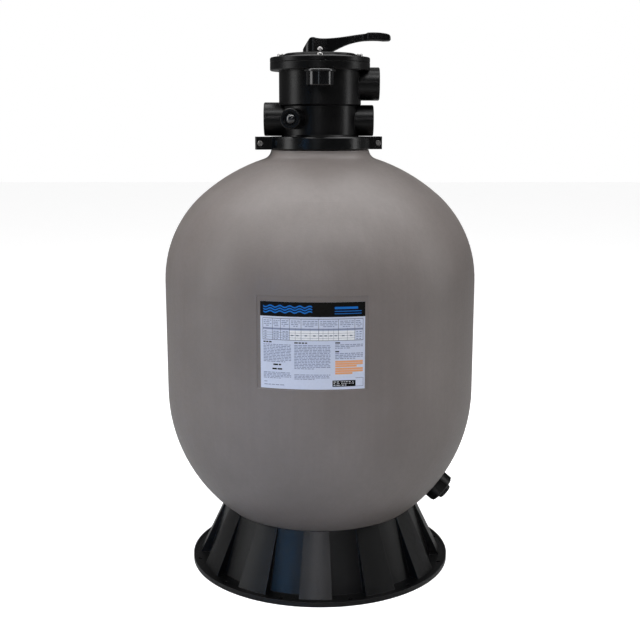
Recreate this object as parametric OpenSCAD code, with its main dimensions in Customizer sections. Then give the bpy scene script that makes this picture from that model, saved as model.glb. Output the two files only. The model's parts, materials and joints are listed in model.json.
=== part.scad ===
// Top-mount sand filter for a pool: a round tank on a skirted base, with a six-way
// selector valve clamped on its neck. Millimetres, +Z up, origin on the floor at the
// tank's axis. The front, with the label, faces -Y. The drain and two ports face +X.

/* [Tank] */
// Outside radius of the tank
tank_r = 304.8; // [300:0.2:308]
// Wall thickness of the tank
tank_wall = 5; // [4:0.5:6]
// Height of the centre of the round bottom
low_z = 358; // [356:1:360]
// Height at which the straight side ends
high_z = 578; // [574:1:582]
// Radius of the shoulder arc
shoulder_r = 220; // [216:1:224]
// Radius of the crown arc
crown_r = 350; // [348:1:352]
// Radius of the neck under the clamp
neck_r = 95; // [94:0.5:96]
// Radius of the fillet between crown and neck
neck_fillet = 20; // [18:1:24]
// Radius of the hole in the neck
neck_hole_r = 70; // [69:0.5:71]

/* [Base] */
// Outside radius of the base flange
flange_r = 262; // [258:1:266]
// Thickness of the base flange
flange_t = 8; // [7:0.5:9]
// Radius of the skirt where it meets the flange
skirt_low_r = 247; // [244:1:248]
// Radius of the skirt at its top
skirt_top_r = 193; // [191:1:194]
// Height of the top of the skirt
skirt_top_z = 121; // [118:1:122]
// Number of proud panels round the skirt
panels = 12; // [10:1:14]
// Depth of the hollow panels at the flange
recess_depth = 20; // [14:1:22]
// Radius of the bolt-down holes
foot_hole_r = 4.5; // [3.5:0.5:5]

/* [Valve] */
// Radius of the lower half of the valve body
body_low_r = 72; // [71:0.5:74]
// Radius of the upper half of the valve body
body_up_r = 79; // [78:0.5:80]
// Radius of the valve's top flange and cover
cover_r = 96; // [95:0.5:98]
// Outside radius of the waste port, on the left
waste_r = 32; // [31:0.5:33]
// Outside radius of the return port, low on the right
return_r = 29.5; // [29:0.5:31]
// Outside radius of the pump port, high on the right
pump_r = 31.3; // [31:0.1:33]
// Radius of the pipe sockets in the ports
pipe_socket_r = 24.3; // [24.2:0.05:24.5]
// Radius of the selector stem
stem_r = 11; // [10.5:0.25:11]
// Turn of the clamp's split from the left-right line
clamp_turn = 10; // [0:1:15]

/* [Handle] */
// Distance from the stem to the end of the grip
grip_end = 135; // [132:1:138]
// Half width of the handle's hub
hub_half = 21; // [20:0.5:22]
// Half width of the grip
grip_half = 13.5; // [12:0.5:15]

/* [Gauge] */
// Distance from the valve's axis to the gauge's axis
gauge_y = 112; // [110:1:114]
// Outside radius of the gauge case
case_r = 25; // [24:0.5:26]
// Outside radius of the gauge bezel
bezel_r = 28.5; // [28:0.5:29.5]

/* [Drain] */
// Direction of the drain round the tank, from the front towards the right
drain_turn = 80; // [75:1:85]
// Slope of the drain below level
drain_slope = 39.5; // [37:0.5:41]
// Radius of the drain nut
drain_nut_r = 28.5; // [27:0.5:30]

/* [Underdrain] */
// Number of folding laterals
laterals = 8; // [8:1:8]
// Height of the laterals
lateral_z = 124; // [123:1:126]
// Distance from the tank's axis to a lateral's tip
lateral_tip = 168; // [160:1:169]
// Radius of a lateral
lateral_r = 10; // [9:0.5:10]

/* [Hidden] */

$fn = 96;
big_fn = 720;
eps = 0.01;
far = 1200;

// Tank profile
crown_z = high_z - sqrt(pow(crown_r - shoulder_r, 2) - pow(tank_r - shoulder_r, 2));
crown_angle = atan2(high_z - crown_z, tank_r - shoulder_r);
fillet_x = neck_r + neck_fillet;
fillet_z = crown_z + sqrt(pow(crown_r + neck_fillet, 2) - pow(fillet_x, 2));
fillet_angle = acos(fillet_x / (crown_r + neck_fillet));
shelf_z = 829;
neck_tube_r = 80;
neck_lip_z = 835;
neck_lip_r = 88;
neck_top_z = 842;

// Label, a sheet in a shallow recess of the side
recess_from = -21.1;
recess_to = 15.9;
recess_z = [424, 589];
label_from = -19.8;
label_to = 14.8;
label_z = [426, 579.5];
label_inset = 0.8;
label_t = 0.5;

// Base
skirt_slope = (skirt_low_r - skirt_top_r) / (skirt_top_z - flange_t);
skirt_wall = 4.5;
panel_turn = -2;
panel_pitch = 360 / panels;
panel_width = 14.6;
recess_top_depth = 2;
lip_w = 5;
lip_t = 1.5;
seat_inner_r = 150;
seat_t = 6;
seat_clear = 0.3;
foot_circle_r = 250;
pocket_margin = 1.1;

// Valve heights, from the neck up
valve_flange_top = 850;
foot_bead_top = 858;
step_z = 915;
plate_z = 922;
seat_z = 930;
flange_bottom = 978.5;
cover_bottom = 993.5;
cover_flange_top = 1003;
cover_top = 1011;
chamber_r = 70;
cavity_r = 64;
centre_tube_r = 30;
pipe_r = 25;
pipe_bore_r = 21.5;
sectors = 6;
sector_angle = 48;
sector_in = 32;
sector_out = 62;
gasket_t = 3.4;
chamfer = 1.5;
waste_z = 887.5;
return_z = 885;
pump_z = 954;
waste_end = -108;
return_end = 103;
pump_end = 114;
socket_depth = 35;
port_bore_r = 20;
spigot_ring_z = 832;
spigot_ring_r = 69.3;

// Cover screws
screws = 6;
screw_circle_r = 85.6;
screw_r = 2.9;
screw_hole_r = 3.3;
screw_head_r = 5.8;
screw_head_t = 4.8;
nut_af = 10;
nut_t = 4.5;

// Rotor, stem and handle
rotor_z = seat_z + gasket_t + 0.2;
rotor_top = 943;
rotor_r = 66;
stem_root_z = 961;
stem_top = 1025;
stem_flat = 8;
stem_shoulder_z = 1008.5;
boss_bottom = 990.6;
stem_fit = 0.06;
oring_z = [996, 1002];
oring_groove = 1.5;
oring_h = 2.4;
washer_t = 1.4;
pin_z = 1018;
pin_r = 3;
pin_fit = 0.06;
pin_head_r = 4.5;
pin_head_t = 2.4;
hub_bottom = 1012.4;
hub_nose = -32.8;
hub_slot = 8.5;

// Spring
spring_low = 961.3;
spring_high = boss_bottom - washer_t - 0.3;
spring_r = 19;
spring_wire = 2;
spring_turns = 4.5;

// Sight glass: the centre of its face and its direction from the front
eye_x = -56;
eye_y = -88;
eye_z = 888;
eye_turn = -20;
eye_boss_r = 19.5;
eye_r = 13.2;

// Gauge heights
gauge_stem_z = 957;
gauge_boss_r = 11;
gauge_boss_end = 81;
gauge_bottom = 947.5;
gauge_top = 976.4;
bezel_t = 4.4;
case_wall = 2.5;
dial_z = 965;
dial_t = 0.8;
stem_thread_r = 6.6;
gauge_thread = 8;
gauge_neck_r = 5;
socket_half = 15;
tube_r = 15;
tube_wire_r = 2;

// Clamp
clamp_z = [830, 854.5];
clamp_r = 97;
clamp_gap = 0.75;
ear_ends = [-125.5, 121];
ear_half = 12;
clamp_bolt_xs = [-118.5, 114];
clamp_bolt_z = 842;
clamp_bolt_r = 3;
clamp_hole_r = 3.3;

// Drain, as distances from the centre of the round bottom
drain_hole_r = 15.6;
spigot_r = 15;
spigot_bore_r = 10;
spigot_inner = 291;
spigot_outer = 325.4;
drain_flange_r = 26;
drain_nut_end = 326;
drain_ribs = 8;
plug_fit = 0.08;
plug_head = [327, 334.5];
plug_head_r = 15;

// Underdrain
pivot_r = 42;
hinge_pin_r = 2.5;
tab_half = 4;
tab_fit = 0.35;
ear_t = 4;
lateral_start = 8;
slots = 14;

// ---- Curves and placements ----

function bezier(p, n) = [for (i = [0:n]) let (t = i / n, u = 1 - t)
    u * u * u * p[0] + 3 * u * u * t * p[1] + 3 * u * t * t * p[2] + t * t * t * p[3]];

// Part of a turned ring between two radii and two heights
module ring(inner, outer, z0, z1) {
    rotate_extrude() translate([inner, z0]) square([outer - inner, z1 - z0]);
}

// A turned ring that covers only some degrees, counted from the front
module ring_part(inner, outer, z0, z1, from, to) {
    rotate_extrude(angle = to - from, start = from - 90)
        translate([inner, z0]) square([outer - inner, z1 - z0]);
}

// A hexagon across its flats, standing along Z
module hexagon(af, h) {
    cylinder(r = af / 2 / cos(30), h = h, $fn = 6);
}

// Places children on the circle of the cover screws
module at_screws() {
    for (i = [0:screws - 1]) rotate([0, 0, i * 360 / screws - 90])
        translate([screw_circle_r, 0, 0]) children();
}

// Places children at both clamp bolts, with +Z towards the front
module along_clamp_bolts() {
    for (x = clamp_bolt_xs) translate([x, 0, clamp_bolt_z])
        rotate([90, 0, 0]) children();
}

module at_clamp_bolts() {
    rotate([0, 0, clamp_turn]) along_clamp_bolts() children();
}

// Places children on the drain's axis, with Z counted from the round bottom's centre
module at_drain() {
    translate([0, 0, low_z]) rotate([0, 90 + drain_slope, drain_turn - 90]) children();
}

// Places children at the sight glass, with +Z out of its face
module at_eye() {
    translate([eye_x, eye_y, eye_z]) rotate([90, 0, eye_turn]) children();
}

// Places children at one lateral, with +X along it and the origin on the tank's axis
module at_lateral(i) {
    rotate([0, 0, (i + 0.5) * 360 / laterals]) translate([0, 0, lateral_z]) children();
}

// ---- Tank ----

// Half section of the tank's solid form, thinned by a wall
module tank_section(wall) {
    intersection() {
        translate([0, low_z]) circle(r = tank_r - wall, $fn = big_fn);
        square([far, low_z + eps]);
    }
    translate([0, low_z]) square([tank_r - wall, high_z - low_z]);
    intersection() {
        translate([tank_r - shoulder_r, high_z]) circle(r = shoulder_r - wall, $fn = big_fn);
        translate([tank_r - shoulder_r - eps, high_z - eps]) square([far, far]);
    }
    intersection() {
        translate([0, crown_z]) circle(r = crown_r - wall, $fn = big_fn);
        polygon([
            [0, crown_z],
            [far * cos(crown_angle), crown_z + far * sin(crown_angle)],
            [0, crown_z + far]
        ]);
    }
}

// Half section of the neck's fillet, up to the shelf
module neck_section() {
    intersection() {
        difference() {
            polygon([
                [0, crown_z + crown_r - 2 * neck_fillet],
                [crown_r * cos(fillet_angle), crown_z + crown_r * sin(fillet_angle)],
                [fillet_x, fillet_z],
                [0, fillet_z]
            ]);
            translate([fillet_x, fillet_z]) circle(r = neck_fillet);
        }
        square([far, shelf_z]);
    }
}

module tank_shell() {
    color([0.58, 0.55, 0.53]) difference() {
        rotate_extrude() difference() {
            union() {
                tank_section(0);
                neck_section();
                translate([0, shelf_z - tank_wall])
                    square([neck_tube_r, neck_top_z - shelf_z + tank_wall]);
                translate([0, neck_lip_z]) square([neck_lip_r, neck_top_z - neck_lip_z]);
            }
            tank_section(tank_wall);
            translate([0, high_z]) square([neck_hole_r, far]);
        }
        ring_part(tank_r - label_inset, tank_r + tank_wall, recess_z[0], recess_z[1],
            recess_from, recess_to);
        at_drain() cylinder(r = drain_hole_r, h = far);
    }
}

module rating_label() {
    color([0.72, 0.78, 0.82]) ring_part(tank_r - label_inset, tank_r - label_inset + label_t,
        label_z[0], label_z[1], label_from, label_to);
}

// ---- Base ----

// Radius of the skirt's outside at a height
function skirt_r(z) = skirt_low_r - skirt_slope * (z - flange_t);

// Half section of a band of the skirt between two depths behind its outside, each given
// at the flange and at the top, and cut off just short of the tank
module skirt_band(outer, inner, low, high) {
    difference() {
        polygon([
            [skirt_r(low) - inner[0], low],
            [skirt_r(low) - outer[0], low],
            [skirt_r(high) - outer[1], high],
            [skirt_r(high) - inner[1], high]
        ]);
        translate([0, low_z]) circle(r = tank_r + seat_clear, $fn = big_fn);
    }
}

module seat_section() {
    intersection() {
        difference() {
            translate([0, low_z]) circle(r = tank_r + seat_t, $fn = big_fn);
            translate([0, low_z]) circle(r = tank_r, $fn = big_fn);
        }
        translate([seat_inner_r, 0])
            square([skirt_top_r - recess_top_depth - 1 - seat_inner_r, skirt_top_z]);
    }
}

// Turns children into sectors round the skirt, centred on a turn from the first panel
module round_skirt(turn, width) {
    for (i = [0:panels - 1])
        rotate_extrude(angle = width, start = panel_turn + turn + i * panel_pitch - width / 2 - 90)
            children();
}

module tank_base() {
    back = [recess_depth, recess_top_depth];
    wall = [skirt_wall, skirt_wall];
    pocket_top = skirt_top_z - 2 * seat_t;
    color([0.10, 0.10, 0.11]) difference() {
        union() {
            // Wall behind the hollow panels, and the round seat that carries the tank
            rotate_extrude() {
                skirt_band(back, back + wall, 0, skirt_top_z);
                seat_section();
            }
            // Proud panels
            round_skirt(0, panel_width) skirt_band([0, 0], back + wall / 2, 0, skirt_top_z);
            ring(skirt_r(0) - recess_depth - skirt_wall, flange_r, 0, flange_t);
            ring(flange_r - lip_w, flange_r, 0, flange_t + lip_t);
        }
        // Pockets behind the proud panels, open below
        round_skirt(0, panel_width - 2 * pocket_margin)
            skirt_band(wall, back + 2 * wall, -1, pocket_top);
        rotate([0, 0, panel_turn]) for (i = [0:panels - 1])
            rotate([0, 0, (i + 0.5) * panel_pitch]) translate([0, -foot_circle_r, -1])
                cylinder(r = foot_hole_r, h = flange_t + 2);
    }
}

// ---- Neck clamp ----

// One half of the clamp, on the side that the sign names: -1 is the front
module clamp_half(side) {
    mid_z = (clamp_z[0] + clamp_z[1]) / 2;
    height = clamp_z[1] - clamp_z[0];
    color([0.09, 0.09, 0.10]) rotate([0, 0, clamp_turn]) difference() {
        union() {
            rotate_extrude() translate([neck_tube_r - 2, clamp_z[0]]) difference() {
                square([clamp_r - neck_tube_r + 2, height]);
                // Softened outer corners
                translate([clamp_r - neck_tube_r + 2, 0]) rotate(45)
                    square(2 * chamfer, center = true);
                translate([clamp_r - neck_tube_r + 2, height]) rotate(45)
                    square(2 * chamfer, center = true);
            }
            translate([ear_ends[0], -ear_half, clamp_z[0]])
                cube([ear_ends[1] - ear_ends[0], 2 * ear_half, height]);
        }
        // Groove for the two lips, and the openings above and below it
        translate([0, 0, clamp_z[0] - 1]) cylinder(r = neck_tube_r + 0.5, h = height + 2);
        ring(0, neck_lip_r + 0.5, neck_lip_z - 0.3, valve_flange_top + 0.3);
        // The other half's side, with the gap between the halves
        translate([-far / 2, side < 0 ? -clamp_gap : clamp_gap - far, clamp_z[0] - 1])
            cube([far, far, height + 2]);
        along_clamp_bolts() cylinder(r = clamp_hole_r, h = far, center = true);
        // Square pockets round the heads and the nuts
        for (x = clamp_bolt_xs) translate([x, side * ear_half, mid_z])
            cube([13, 8, 15], center = true);
    }
}

module clamp_front() { clamp_half(-1); }

module clamp_rear() { clamp_half(1); }

module clamp_bolts() {
    color([0.75, 0.75, 0.77]) at_clamp_bolts() {
        translate([0, 0, -14]) cylinder(r = clamp_bolt_r, h = 22);
        translate([0, 0, 8]) intersection() {
            hexagon(nut_af, 4);
            cylinder(r1 = nut_af / 2 / cos(30) + 3, r2 = nut_af / 2, h = 4 + eps);
        }
    }
}

module clamp_nuts() {
    color([0.75, 0.75, 0.77]) at_clamp_bolts() translate([0, 0, -12.5]) difference() {
        hexagon(nut_af, nut_t);
        translate([0, 0, -1]) cylinder(r = clamp_bolt_r, h = nut_t + 2);
    }
}

module neck_oring() {
    color([0.05, 0.05, 0.05]) ring(73, 79, neck_top_z, neck_top_z + 3.2);
}

// ---- Valve body ----

// A port along X, from inside the body to its end
module port_tube(r, z, end) {
    side = sign(end);
    translate([0, 0, z]) rotate([0, side * 90, 0]) {
        cylinder(r = r, h = abs(end) - chamfer);
        translate([0, 0, abs(end) - chamfer]) cylinder(r1 = r, r2 = r - chamfer, h = chamfer);
    }
}

module port_bore(z, end, from) {
    side = sign(end);
    translate([0, 0, z]) rotate([0, side * 90, 0]) {
        translate([0, 0, from]) cylinder(r = port_bore_r, h = abs(end));
        translate([0, 0, abs(end) - socket_depth]) cylinder(r = pipe_socket_r, h = socket_depth + 1);
    }
}

module valve_body() {
    floor_z = valve_flange_top;
    color([0.09, 0.09, 0.10]) difference() {
        union() {
            difference() {
                union() {
                    rotate_extrude() polygon([
                        [0, spigot_ring_z],
                        [spigot_ring_r, spigot_ring_z],
                        [spigot_ring_r, neck_top_z],
                        [neck_lip_r - 0.5, neck_top_z],
                        [neck_lip_r - 0.5, valve_flange_top],
                        [body_low_r + 3, valve_flange_top],
                        [body_low_r + 3, foot_bead_top - 3],
                        [body_low_r, foot_bead_top],
                        [body_low_r, step_z - 3],
                        [body_up_r, step_z],
                        [body_up_r, flange_bottom],
                        [cover_r - chamfer, flange_bottom],
                        [cover_r, flange_bottom + chamfer],
                        [cover_r, cover_bottom - 0.8],
                        [cover_r - 0.8, cover_bottom],
                        [0, cover_bottom]
                    ]);
                    port_tube(waste_r, waste_z, waste_end);
                    port_tube(return_r, return_z, return_end);
                    port_tube(pump_r, pump_z, pump_end);
                    // Boss of the sight glass
                    at_eye() translate([0, 0, -45]) cylinder(r = eye_boss_r, h = 43.5);
                    at_eye() translate([0, 0, -1.5])
                        cylinder(r1 = eye_boss_r, r2 = eye_boss_r - chamfer, h = chamfer);
                    // Boss of the gauge, hidden behind its case
                    translate([0, -chamber_r, gauge_stem_z]) rotate([90, 0, 0])
                        cylinder(r = gauge_boss_r, h = gauge_boss_end - chamber_r);
                }
                // Top chamber, plate openings, lower cavity
                ring(0, chamber_r, seat_z, cover_bottom + 1);
                ring(0, cavity_r, floor_z + 6, plate_z);
                translate([0, 0, spigot_ring_z - 1])
                    cylinder(r = spigot_ring_r - 6, h = floor_z - spigot_ring_z + 1);
                for (i = [0:sectors - 1]) {
                    mid = i * 360 / sectors;
                    ring_part(sector_in, sector_out, plate_z - 1, seat_z + 1,
                        mid - sector_angle / 2, mid + sector_angle / 2);
                    ring_part(sector_in + 4, sector_out - 2, floor_z - 1, floor_z + 7,
                        mid - sector_angle / 2, mid + sector_angle / 2);
                }
                port_bore(waste_z, waste_end, cavity_r - 8);
                port_bore(return_z, return_end, cavity_r - 8);
                port_bore(pump_z, pump_end, chamber_r - 8);
            }
            // Pipe socket in the middle and the walls between the passages
            ring(0, centre_tube_r, spigot_ring_z, seat_z);
            for (turn = [60, 180, 300]) rotate([0, 0, turn]) translate([0, -2.5, floor_z])
                cube([cavity_r + 2, 5, plate_z - floor_z + 2]);
        }
        translate([0, 0, spigot_ring_z - 1]) cylinder(r = pipe_r, h = 31);
        translate([0, 0, spigot_ring_z]) cylinder(r = pipe_bore_r, h = far);
        // Grooves of the neck ring and the cover ring
        ring(72.6, 79.4, neck_top_z - 1, neck_top_z + 3.4);
        ring(73, 77, cover_bottom - 2.8, cover_bottom + 1);
        at_screws() {
            translate([0, 0, flange_bottom - 1]) cylinder(r = screw_hole_r, h = 20);
            translate([0, 0, flange_bottom - 1]) hexagon(nut_af + 0.3, 6);
        }
        // Seat of the sight glass and its window into the waste passage
        at_eye() translate([0, 0, -12]) cylinder(r = eye_r + 0.4, h = 20);
        at_eye() translate([0, 0, -62]) cylinder(r = 9, h = 60);
        // Thread hole of the gauge and its passage
        translate([0, -gauge_boss_end + gauge_thread, gauge_stem_z]) rotate([90, 0, 0])
            cylinder(r = stem_thread_r, h = gauge_thread + 1);
        translate([0, -chamber_r + 4, gauge_stem_z]) rotate([90, 0, 0]) cylinder(r = 2.5, h = 12);
    }
}

module spider_gasket() {
    color([0.08, 0.08, 0.08]) difference() {
        ring(sector_in - 4, sector_out + 4, seat_z, seat_z + gasket_t);
        for (i = [0:sectors - 1]) ring_part(sector_in, sector_out, seat_z - 1, seat_z + 5,
            i * 360 / sectors - sector_angle / 2 - 4, i * 360 / sectors + sector_angle / 2 + 4);
    }
}

module valve_cover() {
    color([0.09, 0.09, 0.10]) difference() {
        union() {
            rotate_extrude() polygon([
                [0, cover_bottom],
                [cover_r - 0.8, cover_bottom],
                [cover_r, cover_bottom + 0.8],
                [cover_r, cover_flange_top - chamfer],
                [cover_r - chamfer, cover_flange_top],
                [74, cover_flange_top],
                [71, cover_flange_top + 2.5],
                [70, cover_top - 2.5],
                [66, cover_top - 0.5],
                [60, cover_top],
                [0, cover_top]
            ]);
            translate([0, 0, boss_bottom]) cylinder(r = 24, h = cover_bottom - boss_bottom + 1);
        }
        // Hollow round the stem's boss
        ring(24, 63, cover_bottom - 1, cover_top - 5);
        translate([0, 0, boss_bottom - 1]) cylinder(r = stem_r + stem_fit, h = far);
        at_screws() translate([0, 0, cover_bottom - 1]) cylinder(r = screw_hole_r, h = 20);
        // Six shallow marks at the stops of the handle
        for (i = [0:sectors - 1]) rotate([0, 0, i * 360 / sectors])
            translate([48, -1.5, cover_top - 1]) cube([10, 3, 2]);
    }
}

module cover_oring() {
    color([0.05, 0.05, 0.05]) ring(73.2, 76.8, cover_bottom - 2.8, cover_bottom);
}

module cover_screws() {
    color([0.75, 0.75, 0.77]) at_screws() difference() {
        union() {
            translate([0, 0, flange_bottom]) cylinder(r = screw_r, h = cover_flange_top - flange_bottom);
            translate([0, 0, cover_flange_top]) cylinder(r = screw_head_r, h = screw_head_t - 1.2);
            translate([0, 0, cover_flange_top + screw_head_t - 1.2])
                cylinder(r1 = screw_head_r, r2 = screw_head_r - 1.8, h = 1.2);
        }
        translate([0, 0, cover_flange_top + screw_head_t - 2.5]) hexagon(4.5, 5);
    }
}

module cover_nuts() {
    color([0.75, 0.75, 0.77]) at_screws() translate([0, 0, flange_bottom + 0.4]) difference() {
        hexagon(nut_af, nut_t);
        translate([0, 0, -1]) cylinder(r = screw_r, h = nut_t + 2);
    }
}

// ---- Rotor, spring and handle ----

module valve_rotor() {
    color([0.14, 0.14, 0.15]) difference() {
        union() {
            rotate_extrude() polygon([
                [0, rotor_z],
                [rotor_r, rotor_z],
                [rotor_r, rotor_top - 3],
                [rotor_r - 3, rotor_top],
                [34, rotor_top],
                [spring_r + 4, stem_root_z],
                [stem_r, stem_root_z],
                [stem_r, stem_shoulder_z],
                [0, stem_shoulder_z]
            ]);
            // Flat-sided end of the stem, which the handle's pin crosses
            intersection() {
                translate([0, 0, stem_shoulder_z - eps])
                    cylinder(r = stem_r, h = stem_top - stem_shoulder_z);
                translate([-stem_r, -stem_flat, stem_shoulder_z - 1])
                    cube([2 * stem_r, 2 * stem_flat, stem_top]);
            }
        }
        for (z = oring_z) ring(stem_r - oring_groove, stem_r + 1, z, z + oring_h);
        // Way through the rotor, and the crossover hollow under it
        ring_part(sector_in, sector_out - 1, rotor_z - 1, rotor_top + 1,
            90 - sector_angle / 2, 90 + sector_angle / 2);
        ring_part(0, sector_out - 1, rotor_z - 1, rotor_top - 4, 215, 325);
        translate([0, 0, pin_z]) rotate([90, 0, 0]) cylinder(r = pin_r, h = 4 * stem_r, center = true);
    }
}

module slip_washer() {
    color([0.85, 0.85, 0.82])
        ring(stem_r + 0.5, 23, boss_bottom - washer_t - 0.1, boss_bottom - 0.1);
}

// Points of a ring of the spring's wire at one turn angle
function wire_ring(a, sides) = let (
        z = spring_low + spring_wire
            + (spring_high - spring_low - 2 * spring_wire) * a / (360 * spring_turns))
    [for (k = [0:sides - 1]) let (b = k * 360 / sides, r = spring_r + spring_wire * cos(b))
        [r * cos(a), r * sin(a), z + spring_wire * sin(b)]];

module rotor_spring() {
    sides = 8;
    steps = 72;
    points = [for (i = [0:steps]) each wire_ring(360 * spring_turns * i / steps, sides)];
    skin = [for (i = [0:steps - 1]) for (k = [0:sides - 1]) let (n = (k + 1) % sides)
        [i * sides + k, i * sides + n, (i + 1) * sides + n, (i + 1) * sides + k]];
    first = [[for (k = [sides - 1:-1:0]) k]];
    last = [[for (k = [0:sides - 1]) steps * sides + k]];
    color([0.75, 0.75, 0.77]) polyhedron(points, concat(skin, first, last));
}

module stem_orings() {
    color([0.05, 0.05, 0.05]) for (z = oring_z)
        ring(stem_r - oring_groove, stem_r, z + 0.1, z + oring_h - 0.1);
}

module handle_washer() {
    color([0.85, 0.85, 0.82]) ring(stem_r + 0.5, 15, cover_top, cover_top + 0.8);
}

module handle_pin() {
    length = 2 * hub_half + 1;
    color([0.75, 0.75, 0.77]) translate([0, 0, pin_z]) rotate([90, 0, 0]) {
        cylinder(r = pin_r, h = length, center = true);
        for (end = [0, 180]) rotate([end, 0, 0]) translate([0, 0, length / 2]) {
            cylinder(r = pin_head_r, h = pin_head_t / 2);
            translate([0, 0, pin_head_t / 2])
                cylinder(r1 = pin_head_r, r2 = pin_head_r - 1.4, h = pin_head_t / 2);
        }
    }
}

// Side view of the handle: a sloped nose, a dipped back and a raised grip
module handle_side() {
    grip_step = 90;
    polygon(concat(
        [[hub_nose, hub_bottom], [hub_nose, 1019], [-20, 1038.5], [-17, 1040.2]],
        bezier([[-12, 1040.4], [10, 1033], [45, 1043], [grip_step - 2, 1047.5]], 16),
        bezier([[grip_step, 1049.2], [105, 1050], [120, 1049.5], [grip_end - 4, 1046]], 8),
        [[grip_end - 1, 1043], [grip_end, 1036], [grip_end - 2, 1034.4]],
        bezier([[122, 1034], [62, 1040], [40, 1020.5], [18, hub_bottom]], 18)
    ));
}

// Points of an arc round a centre
function arc(cx, cy, r, from, to, step) =
    [for (a = [from:step:to]) [cx + r * cos(a), cy + r * sin(a)]];

// Plan of the handle: a round nose, a waist and a grip with rounded corners
module handle_plan() {
    waist_half = 10.5;
    corner = 6;
    edge = concat(
        arc(hub_nose + hub_half, 0, hub_half, 180, 90, -6),
        bezier([[10, hub_half], [30, hub_half], [34, waist_half], [56, waist_half]], 14),
        bezier([[80, waist_half], [86, waist_half], [86, grip_half], [92, grip_half]], 6),
        arc(grip_end - corner, grip_half - corner, corner, 90, 0, -15)
    );
    polygon(concat(edge, [for (i = [len(edge) - 1:-1:1]) [edge[i][0], -edge[i][1]]]));
}

module selector_handle() {
    color([0.07, 0.07, 0.08]) difference() {
        intersection() {
            rotate([90, 0, 0]) linear_extrude(2 * hub_half + 2, center = true) handle_side();
            translate([0, 0, hub_bottom - 1]) linear_extrude(50) handle_plan();
        }
        // Slot for the stem's end, and the hole of the pin
        translate([-17, -hub_slot, hub_bottom - 1]) cube([34, 2 * hub_slot, 19]);
        translate([0, 0, pin_z]) rotate([90, 0, 0])
            cylinder(r = pin_r + pin_fit, h = 3 * hub_half, center = true);
        // Hollow underside of the arm
        difference() {
            translate([0, 0, -4]) rotate([90, 0, 0]) linear_extrude(13, center = true) handle_side();
            translate([-far, -far / 2, 0]) cube([far + 58, far, far + 400]);
            translate([grip_end - 10, -far / 2, 0]) cube([far, far, far + 400]);
        }
    }
}

// ---- Sight glass ----

module sight_glass() {
    color([0.75, 0.8, 0.82, 0.5]) at_eye() {
        translate([0, 0, -10]) cylinder(r = eye_r, h = 6);
        translate([0, 0, -4]) intersection() {
            translate([0, 0, -eye_r + 6]) sphere(r = eye_r);
            cylinder(r = eye_r, h = eye_r);
        }
    }
}

module sight_glass_oring() {
    color([0.05, 0.05, 0.05]) at_eye() ring(9.5, 12.8, -12, -10);
}

// ---- Gauge ----

module at_gauge() {
    translate([0, -gauge_y, 0]) children();
}

module gauge_case() {
    color([0.06, 0.06, 0.07]) at_gauge() difference() {
        rotate_extrude() polygon([
            [0, gauge_bottom],
            [case_r - chamfer, gauge_bottom],
            [case_r, gauge_bottom + chamfer],
            [case_r, gauge_top - bezel_t],
            [0, gauge_top - bezel_t]
        ]);
        ring(0, case_r - case_wall, gauge_bottom + case_wall, gauge_top);
        translate([0, 0, gauge_stem_z]) rotate([-90, 0, 0])
            cylinder(r = gauge_neck_r + 0.2, h = case_r + 1);
    }
}

// Brass stem: socket inside the case, neck through its back, hexagon and thread
module gauge_stem() {
    reach = gauge_y - gauge_boss_end;
    color([0.72, 0.6, 0.35]) at_gauge() difference() {
        union() {
            rotate_extrude(angle = 2 * socket_half, start = 90 - socket_half)
                translate([tube_r - 4, gauge_stem_z - 4])
                    square([case_r - case_wall - 0.3 - tube_r + 4, 8]);
            translate([0, 0, gauge_stem_z]) rotate([-90, 0, 0]) {
                translate([0, 0, tube_r + 3]) cylinder(r = gauge_neck_r, h = reach - tube_r - 3);
                translate([0, 0, case_r + 0.3]) hexagon(14, reach - case_r - 0.3);
                translate([0, 0, reach]) cylinder(r = stem_thread_r, h = gauge_thread);
            }
        }
        translate([0, tube_r + 1, gauge_stem_z]) rotate([-90, 0, 0])
            cylinder(r = 2, h = reach + gauge_thread);
    }
}

module gauge_bezel() {
    color([0.05, 0.05, 0.06]) at_gauge() rotate_extrude() polygon([
        [case_r - case_wall - 1.5, gauge_top - bezel_t],
        [bezel_r - 0.8, gauge_top - bezel_t],
        [bezel_r, gauge_top - bezel_t + 0.8],
        [bezel_r, gauge_top - 1.2],
        [bezel_r - 1.2, gauge_top],
        [case_r - 1, gauge_top],
        [case_r - case_wall, gauge_top - 1],
        [case_r - case_wall, gauge_top - bezel_t + 1],
        [case_r - case_wall - 1.5, gauge_top - bezel_t + 1]
    ]);
}

module gauge_lens() {
    color([0.85, 0.88, 0.9, 0.35]) at_gauge()
        ring(0, case_r - case_wall, gauge_top - bezel_t + 1, gauge_top - bezel_t + 2.6);
}

module gauge_dial() {
    color([0.93, 0.93, 0.9]) at_gauge()
        ring(2.2, case_r - case_wall, dial_z, dial_z + dial_t);
}

module gauge_needle() {
    color([0.1, 0.1, 0.1]) at_gauge() {
        translate([0, 0, dial_z - 4]) cylinder(r = 1.5, h = 6.4);
        translate([0, 0, dial_z + 2]) cylinder(r = 2.6, h = 1);
        rotate([0, 0, 225]) translate([0, 0, dial_z + 2]) linear_extrude(0.8)
            polygon([[-7, -1.2], [0, -1.5], [19, -0.35], [19, 0.35], [0, 1.5], [-7, 1.2]]);
    }
}

module gauge_tube() {
    color([0.72, 0.6, 0.35]) at_gauge()
        rotate_extrude(angle = 250, start = 90 + socket_half)
            translate([tube_r, gauge_stem_z]) circle(r = tube_wire_r);
}

// ---- Inside the tank ----

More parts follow.
